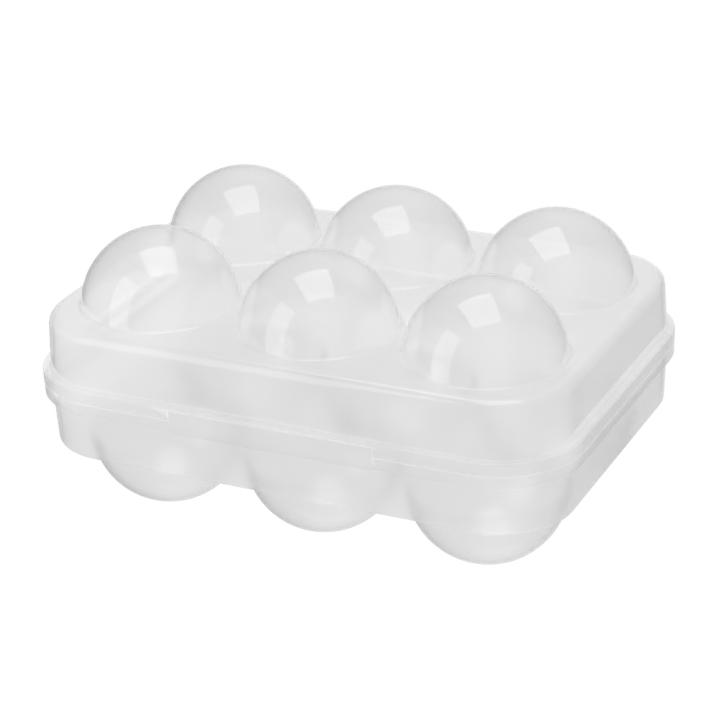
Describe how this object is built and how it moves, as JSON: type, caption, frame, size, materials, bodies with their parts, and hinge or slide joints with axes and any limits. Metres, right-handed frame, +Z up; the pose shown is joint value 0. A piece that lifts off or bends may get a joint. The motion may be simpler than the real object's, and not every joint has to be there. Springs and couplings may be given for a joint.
{
  "type": "egg carton",
  "caption": "Reusable clear plastic egg carton: thin base and lid shells with round egg cups, joined along the back by a living hinge.",
  "frame": {"origin": "on the table, under the middle of the closed carton", "axes": "+X along the carton's length, +Y towards the hinge at the back, +Z up"},
  "size_m": [0.1498, 0.108, 0.0762],
  "materials": {
    "clear_plastic": "satin, frosted translucent polypropylene"
  },
  "bodies": {
    "base": {"base_wall": "clear_plastic", "base_deck": "clear_plastic", "base_rim": "clear_plastic", "base_locating_lip": "clear_plastic", "base_hinge_leaf": "clear_plastic", "base_cup_1": "clear_plastic", "base_cup_2": "clear_plastic", "base_cup_3": "clear_plastic", "base_cup_4": "clear_plastic", "base_cup_5": "clear_plastic", "base_cup_6": "clear_plastic"},
    "lid": {"lid_wall": "clear_plastic", "lid_deck": "clear_plastic", "lid_rim": "clear_plastic", "lid_finger_tab": "clear_plastic", "lid_hinge_leaf": "clear_plastic", "lid_dome_1": "clear_plastic", "lid_dome_2": "clear_plastic", "lid_dome_3": "clear_plastic", "lid_dome_4": "clear_plastic", "lid_dome_5": "clear_plastic", "lid_dome_6": "clear_plastic"}
  },
  "joints": [
    {"name": "lid_hinge", "type": "hinge", "parent": "base", "child": "lid", "pos_m": [0, 0.0542, 0.03839], "axis": [-1, 0, 0], "range_deg": [0, 180]}
  ]
}
